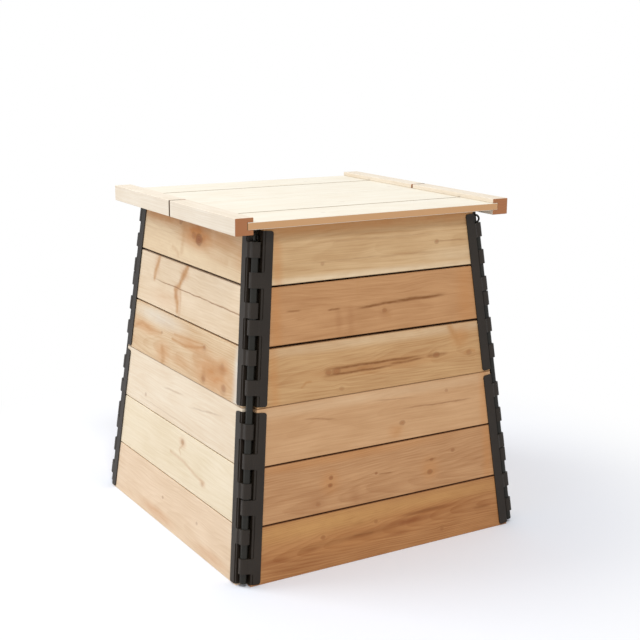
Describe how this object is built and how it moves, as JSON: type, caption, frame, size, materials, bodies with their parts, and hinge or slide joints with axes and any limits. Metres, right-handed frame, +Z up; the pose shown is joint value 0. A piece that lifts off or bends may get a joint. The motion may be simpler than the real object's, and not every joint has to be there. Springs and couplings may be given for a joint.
{
  "type": "wooden compost bin",
  "caption": "Square garden compost bin with leaning board walls in two tiers, pinned corner hinge strips and a lift-off board lid in two halves.",
  "frame": {"origin": "on the ground, in the middle of the bin's square footprint", "axes": "+Z up; -Y is the front, the wider wall in the picture; +X to the right along the front"},
  "size_m": [0.805, 0.805, 0.8396],
  "materials": {
    "wall_wood": "planed, unfinished softwood",
    "lid_wood": "planed, unfinished softwood",
    "batten_wood": "planed, unfinished softwood",
    "hinge_plastic": "moulded, satin charcoal",
    "rod_plastic": "drawn, satin charcoal"
  },
  "bodies": {
    "walls": {"front_lower_board_1": "wall_wood", "front_lower_board_2": "wall_wood", "front_lower_board_3": "wall_wood", "front_lower_hinge_strip_left": "hinge_plastic", "front_lower_hinge_strip_right": "hinge_plastic", "right_lower_board_1": "wall_wood", "right_lower_board_2": "wall_wood", "right_lower_board_3": "wall_wood", "right_lower_hinge_strip_left": "hinge_plastic", "right_lower_hinge_strip_right": "hinge_plastic", "back_lower_board_1": "wall_wood", "back_lower_board_2": "wall_wood", "back_lower_board_3": "wall_wood", "back_lower_hinge_strip_left": "hinge_plastic", "back_lower_hinge_strip_right": "hinge_plastic", "left_lower_board_1": "wall_wood", "left_lower_board_2": "wall_wood", "left_lower_board_3": "wall_wood", "left_lower_hinge_strip_left": "hinge_plastic", "left_lower_hinge_strip_right": "hinge_plastic", "front_upper_board_1": "wall_wood", "front_upper_board_2": "wall_wood", "front_upper_board_3": "wall_wood", "front_upper_hinge_strip_left": "hinge_plastic", "front_upper_hinge_strip_right": "hinge_plastic", "right_upper_board_1": "wall_wood", "right_upper_board_2": "wall_wood", "right_upper_board_3": "wall_wood", "right_upper_hinge_strip_left": "hinge_plastic", "right_upper_hinge_strip_right": "hinge_plastic", "back_upper_board_1": "wall_wood", "back_upper_board_2": "wall_wood", "back_upper_board_3": "wall_wood", "back_upper_hinge_strip_left": "hinge_plastic", "back_upper_hinge_strip_right": "hinge_plastic", "left_upper_board_1": "wall_wood", "left_upper_board_2": "wall_wood", "left_upper_board_3": "wall_wood", "left_upper_hinge_strip_left": "hinge_plastic", "left_upper_hinge_strip_right": "hinge_plastic"},
    "rod_front_left": {"front_left_rod": "rod_plastic"},
    "rod_front_right": {"front_right_rod": "rod_plastic"},
    "rod_back_right": {"back_right_rod": "rod_plastic"},
    "rod_back_left": {"back_left_rod": "rod_plastic"},
    "lid_front": {"lid_front_outer_board": "lid_wood", "lid_front_inner_board": "lid_wood", "lid_front_left_batten": "batten_wood", "lid_front_right_batten": "batten_wood"},
    "lid_rear": {"lid_rear_outer_board": "lid_wood", "lid_rear_inner_board": "lid_wood", "lid_rear_left_batten": "batten_wood", "lid_rear_right_batten": "batten_wood"}
  },
  "joints": [
    {"name": "lid_front_lift", "type": "slide", "parent": "walls", "child": "lid_front", "axis": [0, 0, 1], "range_m": [0, 0.25]},
    {"name": "lid_rear_lift", "type": "slide", "parent": "walls", "child": "lid_rear", "axis": [0, 0, 1], "range_m": [0, 0.25]},
    {"name": "rod_front_left_slide", "type": "slide", "parent": "walls", "child": "rod_front_left", "axis": [0.1011, 0.1011, 0.9897], "range_m": [0, 0.0105]},
    {"name": "rod_front_right_slide", "type": "slide", "parent": "walls", "child": "rod_front_right", "axis": [-0.1011, 0.1011, 0.9897], "range_m": [0, 0.0105]},
    {"name": "rod_back_right_slide", "type": "slide", "parent": "walls", "child": "rod_back_right", "axis": [-0.1011, -0.1011, 0.9897], "range_m": [0, 0.0105]},
    {"name": "rod_back_left_slide", "type": "slide", "parent": "walls", "child": "rod_back_left", "axis": [0.1011, -0.1011, 0.9897], "range_m": [0, 0.0105]}
  ]
}
